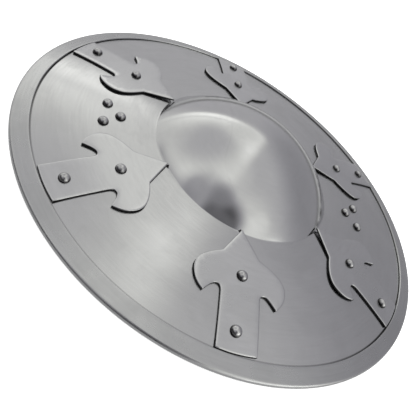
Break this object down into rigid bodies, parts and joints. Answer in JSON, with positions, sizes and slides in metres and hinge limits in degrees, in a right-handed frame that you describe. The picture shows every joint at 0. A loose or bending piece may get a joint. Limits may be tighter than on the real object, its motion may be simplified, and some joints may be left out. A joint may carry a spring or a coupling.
{
  "type": "buckler shield",
  "caption": "Round dished steel buckler with a domed boss, folded rim binding, riveted arrowhead plates on its face and a grip across its hollow back.",
  "frame": {"origin": "under the shield's centre, on the plane that its rim rests on", "axes": "+Z out of the face through the boss, X along the grip"},
  "size_m": [0.38, 0.38, 0.0567],
  "materials": {
    "disc_steel": "satin",
    "binding_steel": "satin",
    "plate_steel": "satin",
    "rivet_steel": "polished by handling",
    "grip_steel": "dull, forged"
  },
  "bodies": {
    "root": {"shield_disc": "disc_steel", "rim_binding": "binding_steel", "grip": "grip_steel", "arrow_plate_1": "plate_steel", "arrow_plate_2": "plate_steel", "arrow_plate_3": "plate_steel", "arrow_plate_4": "plate_steel", "arrow_plate_5": "plate_steel", "arrow_plate_6": "plate_steel", "head_rivet_1": "rivet_steel", "head_rivet_2": "rivet_steel", "head_rivet_3": "rivet_steel", "head_rivet_4": "rivet_steel", "head_rivet_5": "rivet_steel", "head_rivet_6": "rivet_steel", "tail_rivet_1": "rivet_steel", "tail_rivet_2": "rivet_steel", "tail_rivet_3": "rivet_steel", "tail_rivet_4": "rivet_steel", "tail_rivet_5": "rivet_steel", "tail_rivet_6": "rivet_steel", "grip_rivet_1": "rivet_steel", "grip_rivet_2": "rivet_steel", "grip_rivet_3": "rivet_steel", "grip_rivet_4": "rivet_steel", "grip_rivet_5": "rivet_steel", "grip_rivet_6": "rivet_steel"}
  },
  "joints": []
}
